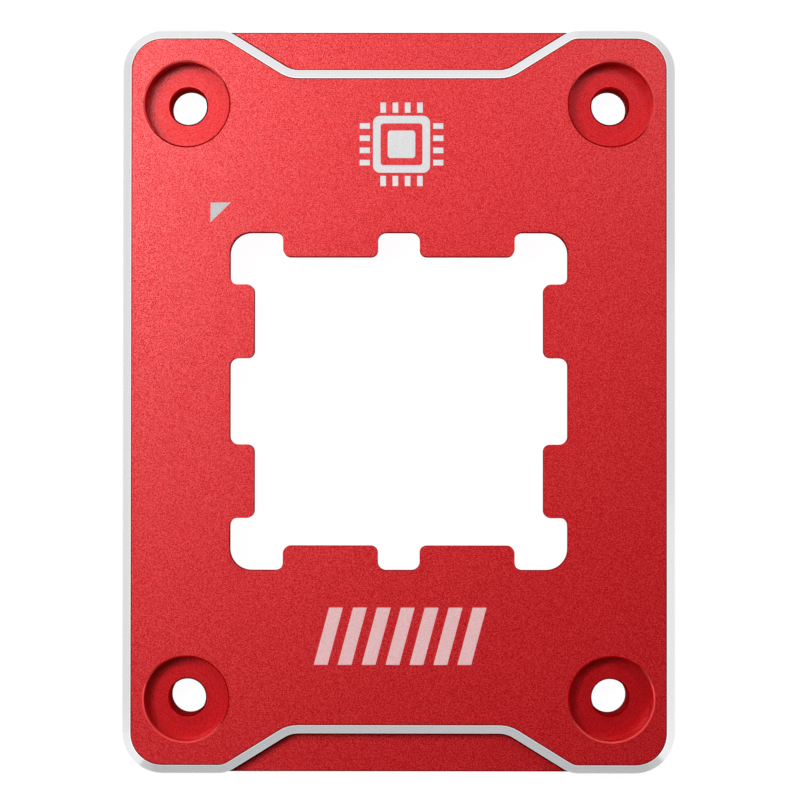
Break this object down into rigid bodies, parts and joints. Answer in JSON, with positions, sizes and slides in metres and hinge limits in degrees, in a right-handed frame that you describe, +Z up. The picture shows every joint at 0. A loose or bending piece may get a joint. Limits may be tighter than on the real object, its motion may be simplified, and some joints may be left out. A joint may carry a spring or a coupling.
{
  "type": "cpu socket retention frame",
  "caption": "Machined plate that screws down over a processor socket: square window with clamping tabs, chamfered raised pad, end notches, counterbored corner holes and a pocket underneath.",
  "frame": {"origin": "on the underside, where the frame stands on the mainboard, under the middle of the window", "axes": "+X across the frame, +Y along it towards the end with the pin-one corner mark at its left, +Z up from the mainboard"},
  "size_m": [0.0542, 0.073, 0.006],
  "materials": {
    "red_anodised": "bead-blasted and anodised red, with the chamfer round the raised pad cut bright afterwards"
  },
  "bodies": {
    "root": {"retention_frame": "red_anodised"}
  },
  "joints": []
}
